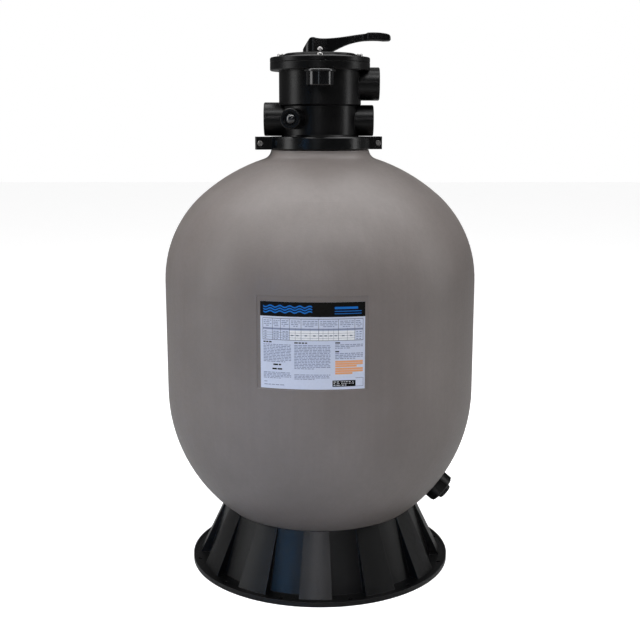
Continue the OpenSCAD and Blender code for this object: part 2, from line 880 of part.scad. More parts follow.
module top_diffuser() {
    diffuser_slots = 24;
    low = 770;
    color([0.16, 0.16, 0.17]) difference() {
        union() {
            ring(62, 68.5, spigot_ring_z - 4, spigot_ring_z);
            ring(61.5, 64.5, low, spigot_ring_z - 3);
            ring(pipe_r + 1, 64.5, low, low + 3);
        }
        for (i = [0:diffuser_slots - 1]) rotate([0, 0, i * 360 / diffuser_slots])
            translate([58, -1.5, low + 8]) cube([10, 3, 40]);
    }
}

module standpipe() {
    color([0.86, 0.86, 0.84]) difference() {
        translate([0, 0, lateral_z - 14]) cylinder(r = pipe_r, h = 862 - lateral_z + 14);
        translate([0, 0, lateral_z - 15]) cylinder(r = pipe_bore_r, h = far);
    }
}

module lateral_hub() {
    hub_low = lateral_z - 20;
    color([0.18, 0.18, 0.19]) difference() {
        union() {
            rotate_extrude() polygon([
                [0, hub_low],
                [26, hub_low],
                [34, hub_low + 8],
                [34, lateral_z + 1],
                [30, lateral_z + 1],
                [30, lateral_z + 26],
                [0, lateral_z + 26]
            ]);
            for (i = [0:laterals - 1]) at_lateral(i) for (side = [-1, 1])
                translate([28, side > 0 ? tab_half + tab_fit : -tab_half - tab_fit - ear_t, -6])
                    cube([pivot_r + 5 - 28, ear_t, 11.5]);
        }
        translate([0, 0, lateral_z - 14]) cylinder(r = pipe_r, h = 50);
        translate([0, 0, hub_low + 4]) cylinder(r = 20, h = 30);
        for (i = [0:laterals - 1]) at_lateral(i) {
            rotate([0, 90, 0]) cylinder(r = 3.2, h = 36);
            translate([pivot_r, 0, 0]) rotate([90, 0, 0])
                cylinder(r = hinge_pin_r, h = 30, center = true);
        }
    }
}

module lateral_pins() {
    length = 2 * (tab_half + tab_fit + ear_t);
    color([0.75, 0.75, 0.77]) for (i = [0:laterals - 1]) at_lateral(i)
        translate([pivot_r, 0, 0]) rotate([90, 0, 0])
            cylinder(r = hinge_pin_r, h = length, center = true);
}

// One folding arm: a hinge tab and a slotted tube with a round tip
module lateral(i) {
    start = pivot_r + lateral_start;
    straight = lateral_tip - lateral_r - start;
    color([0.86, 0.86, 0.84]) at_lateral(i) difference() {
        union() {
            translate([start, 0, 0]) rotate([0, 90, 0]) {
                cylinder(r = lateral_r, h = straight);
                translate([0, 0, straight]) sphere(r = lateral_r);
            }
            translate([pivot_r, -tab_half, -5]) cube([lateral_start + 1, 2 * tab_half, 10]);
            translate([pivot_r, 0, 0]) rotate([90, 0, 0])
                cylinder(r = 5, h = 2 * tab_half, center = true);
        }
        translate([pivot_r, 0, 0]) rotate([90, 0, 0])
            cylinder(r = hinge_pin_r + pin_fit, h = 30, center = true);
        // Slots all round, left as shallow grooves
        for (k = [0:slots - 1]) translate([start + 8 + k * (straight - 12) / slots, 0, 0])
            rotate([0, 90, 0]) ring(lateral_r - 1.2, lateral_r + 1, 0, 2);
    }
}

module lateral_1() { lateral(0); }
module lateral_2() { lateral(1); }
module lateral_3() { lateral(2); }
module lateral_4() { lateral(3); }
module lateral_5() { lateral(4); }
module lateral_6() { lateral(5); }
module lateral_7() { lateral(6); }
module lateral_8() { lateral(7); }

// ---- Drain ----

module drain_spigot() {
    color([0.09, 0.09, 0.10]) at_drain() difference() {
        union() {
            translate([0, 0, spigot_inner]) cylinder(r = drain_flange_r, h = 5);
            translate([0, 0, spigot_inner]) cylinder(r = spigot_r, h = spigot_outer - spigot_inner);
        }
        translate([0, 0, spigot_inner - 1]) cylinder(r = spigot_bore_r, h = 60);
    }
}

module drain_gasket() {
    color([0.05, 0.05, 0.05]) at_drain() rotate_extrude() intersection() {
        translate([spigot_r, spigot_inner + 5])
            square([drain_flange_r - 1 - spigot_r, tank_r - spigot_inner]);
        circle(r = tank_r - tank_wall, $fn = big_fn);
    }
}

module drain_nut() {
    color([0.07, 0.07, 0.08]) at_drain() {
        rotate_extrude() difference() {
            polygon([
                [spigot_r, tank_r - 4],
                [drain_nut_r, tank_r - 4],
                [drain_nut_r, drain_nut_end - 2],
                [drain_nut_r - 2, drain_nut_end],
                [spigot_r, drain_nut_end]
            ]);
            circle(r = tank_r, $fn = big_fn);
        }
        for (i = [0:drain_ribs - 1]) rotate([0, 0, i * 360 / drain_ribs])
            translate([drain_nut_r - 2, -2.2, tank_r - 0.5])
                cube([4, 4.4, drain_nut_end - tank_r - 2]);
    }
}

// Plug with a six-lobed grip, which screws into the spigot
module drain_cap() {
    lobes = 6;
    color([0.07, 0.07, 0.08]) at_drain() {
        translate([0, 0, spigot_inner + 12])
            cylinder(r = spigot_bore_r - plug_fit, h = plug_head[0] - spigot_inner - 12);
        difference() {
            union() {
                translate([0, 0, plug_head[0]])
                    cylinder(r = plug_head_r, h = plug_head[1] - plug_head[0] - 1.5);
                translate([0, 0, plug_head[1] - 1.5])
                    cylinder(r1 = plug_head_r, r2 = plug_head_r - 1.5, h = 1.5);
            }
            for (i = [0:lobes - 1]) rotate([0, 0, i * 360 / lobes])
                translate([plug_head_r + 3.2, 0, plug_head[0] + 2]) cylinder(r = 5, h = 20);
        }
    }
}

module drain_cap_seal() {
    color([0.05, 0.05, 0.05]) at_drain()
        ring(spigot_bore_r + 0.5, 13.2, spigot_outer + 0.1, plug_head[0] - 0.1);
}

module drain_screen() {
    screen_slots = 10;
    low = 266;
    color([0.86, 0.86, 0.84]) at_drain() difference() {
        union() {
            ring(12.5, 15, low, spigot_inner);
            ring(0, 15, low - 2, low);
        }
        for (i = [0:screen_slots - 1]) rotate([0, 0, i * 360 / screen_slots])
            translate([10, -0.9, low + 3]) cube([8, 1.8, 18]);
    }
}

tank_shell();
tank_base();
rating_label();
neck_oring();
clamp_front();
clamp_rear();
clamp_bolts();
clamp_nuts();
valve_body();
valve_cover();
cover_oring();
cover_screws();
cover_nuts();
spider_gasket();
valve_rotor();
rotor_spring();
slip_washer();
stem_orings();
handle_washer();
handle_pin();
selector_handle();
sight_glass();
sight_glass_oring();
gauge_case();
gauge_stem();
gauge_bezel();
gauge_lens();
gauge_dial();
gauge_needle();
gauge_tube();
top_diffuser();
standpipe();
lateral_hub();
lateral_pins();
lateral_1();
lateral_2();
lateral_3();
lateral_4();
lateral_5();
lateral_6();
lateral_7();
lateral_8();
drain_spigot();
drain_gasket();
drain_nut();
drain_cap();
drain_cap_seal();
drain_screen();
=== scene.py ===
"""Looks of a pool sand filter: moulded tank, skirted base, selector valve, gauge, drain and printed label."""

import json
import math
import random

import bmesh
import bpy
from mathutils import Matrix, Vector


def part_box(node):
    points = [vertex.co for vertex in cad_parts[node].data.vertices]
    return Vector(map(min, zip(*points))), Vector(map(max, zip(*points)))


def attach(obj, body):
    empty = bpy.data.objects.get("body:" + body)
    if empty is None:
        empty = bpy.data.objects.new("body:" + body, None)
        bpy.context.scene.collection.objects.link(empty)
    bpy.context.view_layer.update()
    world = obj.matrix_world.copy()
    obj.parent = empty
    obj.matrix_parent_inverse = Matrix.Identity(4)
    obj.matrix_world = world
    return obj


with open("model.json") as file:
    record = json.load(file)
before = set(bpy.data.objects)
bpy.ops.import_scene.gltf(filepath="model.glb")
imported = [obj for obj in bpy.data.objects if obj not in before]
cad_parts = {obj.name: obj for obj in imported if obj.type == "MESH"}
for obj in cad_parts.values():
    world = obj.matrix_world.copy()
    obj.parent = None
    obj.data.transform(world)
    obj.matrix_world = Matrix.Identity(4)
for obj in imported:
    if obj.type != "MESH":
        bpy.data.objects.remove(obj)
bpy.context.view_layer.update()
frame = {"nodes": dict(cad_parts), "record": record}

MM = 0.001
WHITE = (1.0, 1.0, 1.0)

# ---------------------------------------------------------------- node helpers


class Nodes:
    """Adds nodes to one tree and links them."""

    def __init__(self, tree):
        self.tree = tree

    def node(self, kind, **values):
        made = self.tree.nodes.new(kind)
        for key, value in values.items():
            setattr(made, key, value)
        return made

    def link(self, source, target):
        self.tree.links.new(source, target)

    def feed(self, socket, value):
        """Links a socket to another node's output, or sets it to a plain value."""
        if isinstance(value, bpy.types.NodeSocket):
            self.link(value, socket)
        else:
            socket.default_value = value

    def spread(self, value, low, high, to_low=0.0, to_high=1.0, curve="LINEAR"):
        made = self.node("ShaderNodeMapRange", interpolation_type=curve)
        self.link(value, made.inputs["Value"])
        made.inputs["From Min"].default_value = low
        made.inputs["From Max"].default_value = high
        made.inputs["To Min"].default_value = to_low
        made.inputs["To Max"].default_value = to_high
        return made.outputs["Result"]

    def math(self, operation, a, b):
        made = self.node("ShaderNodeMath", operation=operation)
        self.feed(made.inputs[0], a)
        self.feed(made.inputs[1], b)
        return made.outputs["Value"]

    def camera_ray(self):
        return self.node("ShaderNodeLightPath").outputs["Is Camera Ray"]


class Maker(Nodes):
    """Builds one procedural material round a Principled shader."""

    def __init__(self, name):
        self.material = bpy.data.materials.new(name)
        self.material.use_nodes = True
        super().__init__(self.material.node_tree)
        self.shader = self.tree.nodes["Principled BSDF"]
        self.place = self.node("ShaderNodeTexCoord").outputs["Object"]

    def noise(self, scale, detail=3.0, roughness=0.5, where=None):
        made = self.node("ShaderNodeTexNoise")
        self.link(where or self.place, made.inputs["Vector"])
        made.inputs["Scale"].default_value = scale
        made.inputs["Detail"].default_value = detail
        made.inputs["Roughness"].default_value = roughness
        return made.outputs["Fac"]

    def cells(self, scale, feature="F1"):
        made = self.node("ShaderNodeTexVoronoi", feature=feature)
        self.link(self.place, made.inputs["Vector"])
        made.inputs["Scale"].default_value = scale
        return made.outputs["Distance"]

    def stretch(self, x, y, z):
        """The object's coordinates, scaled along each axis."""
        made = self.node("ShaderNodeMapping")
        self.link(self.place, made.inputs["Vector"])
        made.inputs["Scale"].default_value = (x, y, z)
        return made.outputs["Vector"]

    def mix(self, share, a, b):
        made = self.node("ShaderNodeMix", data_type="RGBA")
        self.feed(made.inputs["Factor"], share)
        self.feed(made.inputs["A"], rgba(a))
        self.feed(made.inputs["B"], rgba(b))
        return made.outputs["Result"]

    def tint(self, share, strength, under, over):
        """Lays a colour over another where share is high, at most by strength."""
        return self.mix(self.math("MULTIPLY", share, strength), under, over)

    def soft_edge(self, radius):
        """Normals rounded over a small radius, as moulded edges are."""
        made = self.node("ShaderNodeBevel", samples=6)
        made.inputs["Radius"].default_value = radius
        return made.outputs["Normal"]

    def edge_mask(self, rounded):
        """How far the rounded normal leans from the true one: 1 along the edges."""
        shape = self.node("ShaderNodeNewGeometry")
        dot = self.node("ShaderNodeVectorMath", operation="DOT_PRODUCT")
        self.link(rounded, dot.inputs[0])
        self.link(shape.outputs["Normal"], dot.inputs[1])
        lean = self.math("SUBTRACT", 1.0, dot.outputs["Value"])
        return self.spread(lean, 0.02, 0.25)

    def bump(self, height, depth, under=None):
        made = self.node("ShaderNodeBump")
        self.link(height, made.inputs["Height"])
        made.inputs["Distance"].default_value = depth
        made.inputs["Strength"].default_value = 1.0
        if under is not None:
            self.link(under, made.inputs["Normal"])
        return made.outputs["Normal"]

    def finish(self, **sockets):
        for name, value in sockets.items():
            self.feed(self.shader.inputs[name.replace("_", " ")], value)
        return self.material


def rgba(value):
    """A colour of three numbers gets its alpha; anything else stays."""
    if isinstance(value, (tuple, list)) and len(value) == 3:
        return (*value, 1.0)
    return value


def srgb(*screen):
    """Linear colour of a colour given in 0 to 255 steps, as it looks on a screen."""
    return tuple(c / 255 / 12.92 if c <= 10 else ((c / 255 + 0.055) / 1.055) ** 2.4 for c in screen)


# ---------------------------------------------------------------- materials


def tank_plastic():
    """Satin taupe shell: fine orange peel, faint vertical flow marks, light scuffs and a painted highlight
    along its edges.
    """
    m = Maker("tank_plastic")
    broad = m.spread(m.noise(5.0, 4.0), 0.35, 0.65)
    flow = m.spread(m.noise(1.0, 4.0, 0.6, m.stretch(60, 60, 2.5)), 0.35, 0.7)
    mottle = m.spread(m.noise(140.0, 5.0, 0.65), 0.3, 0.7)
    rounded = m.soft_edge(1.5 * MM)
    colour = m.mix(broad, srgb(117, 110, 107), srgb(129, 122, 119))
    colour = m.tint(flow, 0.22, colour, srgb(108, 101, 98))
    colour = m.tint(mottle, 0.10, colour, srgb(92, 85, 82))
    # Pale colour along the edges is a painted highlight.
    colour = m.tint(m.edge_mask(rounded), 0.25, colour, srgb(176, 170, 168))
    peel = m.noise(330.0, 3.0, 0.55)
    grain = m.noise(1500.0, 2.0, 0.6)
    height = m.math("ADD", peel, m.math("MULTIPLY", grain, 0.35))
    normal = m.bump(height, 0.22 * MM, rounded)
    rough = m.spread(m.math("ADD", broad, mottle), 0.0, 2.0, 0.40, 0.52)
    return m.finish(Base_Color=colour, Roughness=rough, Normal=normal, Coat_Weight=0.12, Coat_Roughness=0.35)


def moulded(name, dark, light, rough, spread=0.08, grain=900.0, depth=0.12 * MM, shine=0.5):
    """Injection moulded plastic: fine grain, uneven gloss and a painted highlight along the edges."""
    m = Maker(name)
    broad = m.spread(m.noise(22.0, 4.0, 0.55), 0.35, 0.65)
    fine = m.spread(m.noise(260.0, 4.0, 0.6), 0.35, 0.65)
    scratches = m.spread(m.noise(1.0, 5.0, 0.7, m.stretch(900, 900, 40)), 0.62, 0.75)
    rounded = m.soft_edge(0.6 * MM)
    colour = m.mix(broad, srgb(*dark), srgb(*light))
    # Paler colour along the edges is a painted highlight, made patchy by the fine noise.
    painted_edge_highlight = tuple(min(1.0, 2.2 * c + 0.02) for c in srgb(*light))
    colour = m.tint(m.edge_mask(rounded), m.math("MULTIPLY", fine, 0.36), colour, painted_edge_highlight)
    gloss = m.spread(m.math("ADD", broad, fine), 0.0, 2.0, rough - spread, rough + spread)
    gloss = m.math("ADD", gloss, m.math("MULTIPLY", scratches, 0.025))
    height = m.math("ADD", m.noise(grain, 3.0, 0.55), m.math("MULTIPLY", scratches, 0.075))
    normal = m.bump(height, depth, rounded)
    return m.finish(Base_Color=colour, Roughness=gloss, Normal=normal, Specular_IOR_Level=shine)


def base_plastic():
    """Leather-grained black plastic, with a painted highlight along its edges."""
    m = Maker("base_plastic")
    dark, light = srgb(3, 3, 4), srgb(7, 8, 10)
    broad = m.spread(m.noise(14.0, 4.0, 0.6), 0.35, 0.65)
    pebble = m.cells(420.0)
    vein = m.spread(m.cells(420.0, "DISTANCE_TO_EDGE"), 0.0, 0.12)
    rounded = m.soft_edge(1.2 * MM)
    colour = m.tint(vein, 0.35, dark, m.mix(broad, dark, light))
    # Paler colour along the edges is a painted highlight.
    painted_edge_highlight = tuple(2.5 * c + 0.02 for c in light)
    colour = m.tint(m.edge_mask(rounded), 0.45, colour, painted_edge_highlight)
    height = m.math("ADD", m.math("MULTIPLY", vein, 0.6), m.math("MULTIPLY", pebble, -0.4))
    height = m.math("ADD", height, m.math("MULTIPLY", m.noise(1600.0, 2.0), 0.3))
    gloss = m.spread(m.noise(160.0, 3.0, 0.5), 0.3, 0.7, 0.28, 0.33)
    normal = m.bump(height, 0.16 * MM, rounded)
    return m.finish(Base_Color=colour, Roughness=gloss, Normal=normal, Specular_IOR_Level=0.34)


def turned_metal(name, colour, rough):
    """Machined metal with fine drawn streaks and small stains."""
    m = Maker(name)
    stain = m.spread(m.noise(150.0, 4.0, 0.6), 0.4, 0.75)
    streaks = m.noise(1.0, 2.0, 0.6, m.stretch(1800, 1800, 120))
    tone = m.tint(stain, 0.5, colour, tuple(0.6 * c for c in colour))
    rounded = m.soft_edge(0.3 * MM)
    gloss = m.spread(streaks, 0.3, 0.7, rough - 0.06, rough + 0.1)
    return m.finish(Base_Color=tone, Metallic=1.0, Roughness=gloss, Normal=m.bump(streaks, 0.04 * MM, rounded))


def seal_rubber():
    m = Maker("seal_rubber")
    dust = m.spread(m.noise(300.0, 4.0, 0.6), 0.45, 0.7)
    colour = m.tint(dust, 0.4, srgb(20, 20, 21), srgb(52, 52, 54))
    rough = m.spread(dust, 0.0, 1.0, 0.62, 0.85)
    return m.finish(Base_Color=colour, Roughness=rough, Normal=m.bump(m.noise(900.0), 0.1 * MM))


def clear_plastic():
    """Clear moulded window with a faint haze."""
    m = Maker("clear_plastic")
    haze = m.spread(m.noise(120.0, 4.0, 0.6), 0.4, 0.8, 0.03, 0.12)
    tone = m.mix(m.noise(60.0), (0.90, 0.93, 0.95), (0.97, 0.98, 0.98))
    normal = m.bump(m.noise(220.0, 2.0), 0.03 * MM)
    return m.finish(Base_Color=tone, Roughness=haze, Transmission_Weight=0.92, IOR=1.49, Normal=normal)


def shade_painted_glass():
    """Polished window whose dark colour is painted shade of the unlit passage behind it."""
    m = Maker("shade_painted_glass")
    cloud = m.spread(m.noise(90.0, 3.0), 0.3, 0.7)
    # The dark tone is painted shade of the passage behind the window, not a tint of the glass.
    tone = m.mix(cloud, srgb(10, 12, 15), srgb(22, 26, 32))
    haze = m.spread(m.noise(160.0, 4.0), 0.4, 0.8, 0.03, 0.10)
    return m.finish(Base_Color=tone, Roughness=haze, IOR=1.55, Transmission_Weight=0.25,
                    Coat_Weight=1.0, Coat_Roughness=0.03, Normal=m.bump(m.noise(300.0, 2.0), 0.004 * MM))


def film(name, colour, rough, shine=0.5):
    """Printed film: slightly uneven ink over a faint film texture."""
    m = Maker(name)
    colour = srgb(*colour)
    uneven = m.spread(m.noise(240.0, 4.0, 0.6), 0.3, 0.7)
    tone = m.tint(uneven, 0.5, colour, tuple(c * 0.88 + 0.01 for c in colour))
    gloss = m.spread(m.noise(40.0, 3.0), 0.3, 0.7, rough - 0.06, rough + 0.08)
    normal = m.bump(m.noise(500.0, 2.0), 0.04 * MM)
    return m.finish(Base_Color=tone, Roughness=gloss, Normal=normal, Specular_IOR_Level=shine)


# Colours of the plastics, films and inks are in 0 to 255 steps
PLASTICS = {
    "valve_plastic": {"dark": (3, 3, 4), "light": (8, 8, 9), "rough": 0.31, "spread": 0.05,
                      "depth": 0.06 * MM, "shine": 0.30},
    "clamp_plastic": {"dark": (4, 5, 6), "light": (10, 11, 13), "rough": 0.25, "spread": 0.06,
                      "depth": 0.08 * MM, "shine": 0.40},
    "handle_plastic": {"dark": (5, 5, 6), "light": (10, 10, 12), "rough": 0.16, "spread": 0.04,
                       "grain": 1200.0, "depth": 0.04 * MM},
    "gauge_plastic": {"dark": (6, 6, 8), "light": (12, 13, 15), "rough": 0.13, "spread": 0.03,
                      "grain": 1200.0, "depth": 0.02 * MM, "shine": 0.8},
    "drain_plastic": {"dark": (4, 4, 5), "light": (9, 9, 10), "rough": 0.34, "shine": 0.35},
    "inner_plastic": {"dark": (60, 61, 63), "light": (78, 79, 81), "rough": 0.48},
    "white_plastic": {"dark": (214, 213, 206), "light": (228, 227, 221), "rough": 0.42},
    "pipe_plastic": {"dark": (206, 206, 203), "light": (222, 222, 219), "rough": 0.38},
}
FILMS = {
    "label_film": {"colour": (212, 220, 240), "rough": 0.38, "shine": 0.4},
    "dial_face": {"colour": (236, 236, 230), "rough": 0.4},
    "needle_black": {"colour": (18, 18, 20), "rough": 0.35},
}
METALS = {
    "stainless": {"colour": (0.62, 0.61, 0.60), "rough": 0.26},
    "brass": {"colour": (0.68, 0.49, 0.20), "rough": 0.30},
}
PRINTS = {
    "black": {"colour": (8, 8, 6), "rough": 0.34, "shine": 0.12},
    "blue": {"colour": (22, 112, 198), "rough": 0.34, "shine": 0.2},
    "orange": {"colour": (238, 172, 122), "rough": 0.36, "shine": 0.3},
    "text": {"colour": (138, 148, 176), "rough": 0.38, "shine": 0.3},
    "line": {"colour": (98, 106, 130), "rough": 0.38, "shine": 0.3},
    "white": {"colour": (246, 248, 252), "rough": 0.38, "shine": 0.3},
}

SLOTS = {make.__name__: make() for make in (tank_plastic, base_plastic, seal_rubber, clear_plastic)}
for looks, make in ((PLASTICS, moulded), (FILMS, film), (METALS, turned_metal)):
    SLOTS.update({slot: make(slot, **look) for slot, look in looks.items()})
INKS = {ink: film("ink_" + ink, **look) for ink, look in PRINTS.items()}

# ---------------------------------------------------------------- CAD nodes


def give_material(node, material):
    node.data.materials.clear()
    node.data.materials.append(material)


def dress_cad_nodes():
    """Gives every node of the frame the material of its slot, and the sight glass its own, dark with painted
    shade.
    """
    for row in frame["record"]["subparts"]:
        give_material(frame["nodes"][row["node"]], SLOTS[row["material_slot"]])
    give_material(frame["nodes"]["sight_glass"], shade_painted_glass())


def soften_handle():
    """Rounds the moulded edges of the handle."""
    handle = frame["nodes"]["selector_handle"]
    remesh = handle.modifiers.new("even", "REMESH")
    remesh.mode = "VOXEL"
    remesh.voxel_size = 0.8 * MM
    remesh.use_smooth_shade = True
    smooth = handle.modifiers.new("round", "SMOOTH")
    smooth.factor = 0.5
    smooth.iterations = 5


# ---------------------------------------------------------------- label print

# Height of the print's layers over the film, and its root under the film's face, in millimetres
LIFT_UNDER, LIFT_PRINT, LIFT_RULE, LIFT_MOTIF, ROOT = 0.08, 0.10, 0.12, 0.16, -0.06
# Patches follow the label's curve in this many steps over its width
CURVE_STEPS = 24
LABEL_SEED = 7
# A word's least and greatest length, the space after it, and the shortest room left for one
WORD_LEAST, WORD_MOST, WORD_GAP, WORD_ROOM = 0.014, 0.05, 0.007, 0.012
# How far the last line of a paragraph runs
LAST_LINE = (0.45, 0.8)


def as_piece(name, form, material, body):
    """Turns a bmesh into an object of the part that rides on a body."""
    bmesh.ops.recalc_face_normals(form, faces=form.faces)
    mesh = bpy.data.meshes.new(name)
    form.to_mesh(mesh)
    form.free()
    mesh.polygons.foreach_set("use_smooth", [True] * len(mesh.polygons))
    mesh.set_sharp_from_angle(angle=math.radians(30))
    mesh.materials.append(material)
    piece = bpy.data.objects.new(name, mesh)
    bpy.context.collection.objects.link(piece)
    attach(piece, body)


class Label:
    """Printed patches on the curved label; u runs left to right and v downwards, both from 0 to 1."""

    def __init__(self):
        low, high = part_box("rating_label")
        self.radius = -low[1]
        self.left = math.asin(low[0] / self.radius)
        self.right = math.asin(high[0] / self.radius)
        self.top, self.bottom = high[2], low[2]
        self.draw = random.Random(LABEL_SEED)
        self.forms = {}

    def point(self, u, v, lift):
        angle = self.left + (self.right - self.left) * u
        reach = self.radius + lift * MM
        return reach * math.sin(angle), -reach * math.cos(angle), self.top + (self.bottom - self.top) * v

    def patch(self, ink, u0, v0, u1, v1, lift=LIFT_PRINT, wave=0.0, turns=1.0):
        """One closed, curved patch of ink; wave bends it up and down as it runs."""
        form = self.forms.setdefault(ink, bmesh.new())
        steps = max(1, math.ceil((u1 - u0) * CURVE_STEPS), math.ceil(CURVE_STEPS * turns) if wave else 1)
        rings = []
        for k in range(steps + 1):
            u = u0 + (u1 - u0) * k / steps
            shift = wave * math.sin(2 * math.pi * turns * k / steps)
            corners = ((v0, ROOT), (v1, ROOT), (v1, lift), (v0, lift))
            rings.append([form.verts.new(self.point(u, v + shift, rise)) for v, rise in corners])
        for before, after in zip(rings, rings[1:]):
            for i in range(4):
                j = (i + 1) % 4
                form.faces.new((before[i], before[j], after[j], after[i]))
        form.faces.new(rings[0])
        form.faces.new(rings[-1][::-1])

    def rules(self, u0, u1, half, *places, lift=LIFT_RULE):
        for v in places:
            self.patch("line", u0, v - half, u1, v + half, lift)

    def uprights(self, v0, v1, half, *places, lift=LIFT_RULE):
        for u in places:
            self.patch("line", u - half, v0, u + half, v1, lift)

    def words(self, ink, u0, v0, u1, v1, lines, weight=0.5, centred=False):
        """Greeked text: rows of short bars that stand for words."""
        pitch = (v1 - v0) / lines
        half = pitch * weight / 2
        for line in range(lines):
            v = v0 + pitch * (line + 0.5)
            end = u1 if line < lines - 1 else u0 + (u1 - u0) * self.draw.uniform(*LAST_LINE)
            shift = (u1 - end) / 2 if centred else 0.0
            u = u0
            while u < end - WORD_ROOM:
                reach = min(end, u + self.draw.uniform(WORD_LEAST, WORD_MOST))
                self.patch(ink, u + shift, v - half, reach + shift, v + half)
                u = reach + WORD_GAP

    def finish(self):
        for ink, form in self.forms.items():
            as_piece("label_print_" + ink, form, INKS[ink], "tank")


def print_header(label):
    """A dark band with a plain wave motif and plain stripes."""
    label.patch("black", 0.0, 0.0, 1.0, 0.167)
    for row in range(3):
        top = 0.046 + 0.030 * row
        label.patch("blue", 0.03, top, 0.50, top + 0.016, LIFT_MOTIF, wave=0.010, turns=5.0)
    for v0, v1, end in ((0.052, 0.078, 0.93), (0.098, 0.106, 0.965), (0.126, 0.134, 0.965)):
        label.patch("blue", 0.71, v0, end, v1, LIFT_MOTIF)


def print_table(label):
    """The rating table, with bars in place of its text."""
    label.patch("white", 0.285, 0.325, 0.90, 0.435, LIFT_UNDER)
    label.patch("text", 0.025, 0.298, 0.98, 0.318)
    label.rules(0.025, 0.98, 0.003, 0.19, 0.435)
    label.rules(0.025, 0.90, 0.0015, 0.352, 0.38, 0.408)
    label.uprights(0.19, 0.435, 0.0018, 0.025, 0.12, 0.20, 0.285, 0.395, 0.56, 0.745, 0.90, 0.98)
    label.uprights(0.295, 0.435, 0.001, 0.34, 0.48, 0.60, 0.65, 0.70, 0.83)
    for u0, u1 in ((0.035, 0.11), (0.13, 0.19), (0.21, 0.275), (0.30, 0.385), (0.41, 0.55), (0.575, 0.735),
                   (0.76, 0.89), (0.91, 0.97)):
        label.words("text", u0, 0.205, u1, 0.285, 4, 0.45, True)
    label.uprights(0.374, 0.386, 0.012, 0.31, 0.36, 0.44, 0.52, 0.58, 0.625, 0.675, 0.72, 0.79, 0.865,
                   lift=LIFT_PRINT)
    for u in (0.04, 0.13, 0.16, 0.22, 0.25, 0.915, 0.945):
        label.words("text", u, 0.326, u + 0.022, 0.434, 4, 0.35)


def print_columns(label):
    """Three columns of headings, paragraphs and notes."""
    label.words("black", 0.03, 0.452, 0.24, 0.472, 1, 0.7)
    label.words("text", 0.03, 0.482, 0.30, 0.695, 12)
    label.words("black", 0.09, 0.708, 0.24, 0.732, 1, 0.7, True)
    label.words("black", 0.07, 0.758, 0.26, 0.782, 1, 0.7, True)
    label.words("text", 0.03, 0.805, 0.30, 0.885, 5)
    label.words("text", 0.035, 0.912, 0.12, 0.930, 1)
    label.words("text", 0.035, 0.946, 0.33, 0.964, 1)

    label.words("black", 0.33, 0.454, 0.58, 0.474, 1, 0.7)
    label.words("text", 0.33, 0.484, 0.67, 0.768, 16)
    label.words("text", 0.33, 0.822, 0.67, 0.888, 4)

    label.words("black", 0.715, 0.452, 0.80, 0.472, 1, 0.7)
    label.words("text", 0.715, 0.476, 0.98, 0.532, 3)
    label.words("black", 0.715, 0.552, 0.79, 0.572, 1, 0.7)
    label.words("text", 0.715, 0.576, 0.98, 0.652, 4)
    for top, ends in ((0.667, (0.98, 0.98, 0.92)), (0.750, (0.98, 0.98, 0.88))):
        for row, end in enumerate(ends):
            v = top + 0.026 * row
            label.patch("orange", 0.715, v, end, v + 0.022)
    label.patch("black", 0.69, 0.895, 0.91, 0.967)
    label.words("white", 0.70, 0.902, 0.90, 0.960, 3, 0.35)
    label.rules(0.91, 0.985, 0.002, 0.870, 0.967, lift=LIFT_PRINT)
    label.patch("line", 0.982, 0.870, 0.985, 0.967)


def print_label():
    label = Label()
    print_header(label)
    print_table(label)
    print_columns(label)
    label.finish()


# ---------------------------------------------------------------- gauge dial

# The scale runs clockwise from its start over its sweep, in degrees
DIAL_START = 225
DIAL_SWEEP = 270
# Numbers step by ten; every fifth of the ticks is a long one
NUMBERS = 7
TICKS = 31
LONG_EVERY = 5
# Half width in millimetres, and inner end as a share of the dial's radius
LONG_TICK = (0.35, 0.76)
SHORT_TICK = (0.18, 0.83)
TICK_END = 0.92
NUMBER_RING = 0.58


def dial_angle(step, steps):
    return math.radians(DIAL_START - DIAL_SWEEP / (steps - 1) * step)


def print_ticks(centre, rim):
    form = bmesh.new()
    for step in range(TICKS):
        angle = dial_angle(step, TICKS)
        half, inner = SHORT_TICK if step % LONG_EVERY else LONG_TICK
        along = Vector((math.cos(angle), math.sin(angle), 0)) * rim
        across = Vector((-math.sin(angle), math.cos(angle), 0)) * half * MM
        ends = ((inner, -1), (TICK_END, -1), (TICK_END, 1), (inner, 1))
        corner = [form.verts.new(centre + along * reach + across * side + Vector((0, 0, rise * MM)))
                  for rise in (-0.1, 0.06) for reach, side in ends]
        for face in ((3, 2, 1, 0), (4, 5, 6, 7), (0, 1, 5, 4), (1, 2, 6, 5), (2, 3, 7, 6), (3, 0, 4, 7)):
            form.faces.new([corner[i] for i in face])
    as_piece("dial_ticks", form, INKS["black"], "tank")


def print_numbers(centre, rim):
    for number in range(NUMBERS):
        angle = dial_angle(number, NUMBERS)
        name = "dial_number_%d" % number
        text = bpy.data.curves.new(name, "FONT")
        text.body = str(10 * number)
        text.size = 4.2 * MM
        text.align_x = "CENTER"
        text.align_y = "CENTER"
        text.extrude = 0.05 * MM
        text.materials.append(INKS["black"])
        piece = bpy.data.objects.new(name, text)
        bpy.context.collection.objects.link(piece)
        piece.location = centre + Vector((math.cos(angle), math.sin(angle), 0)) * rim * NUMBER_RING
        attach(piece, "tank")


def print_dial():
    low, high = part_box("gauge_dial")
    centre = Vector(((low[0] + high[0]) / 2, (low[1] + high[1]) / 2, high[2]))
    rim = (high[0] - low[0]) / 2
    print_ticks(centre, rim)
    print_numbers(centre, rim)


# ---------------------------------------------------------------- stage

CAMERA_PLACE = (0.0, -2.056, 0.879)
CAMERA_DOWN = 10.67
CAMERA_LENS = 58.6
CAMERA_SENSOR = 36.0

FLOOR_HALF = 14.0
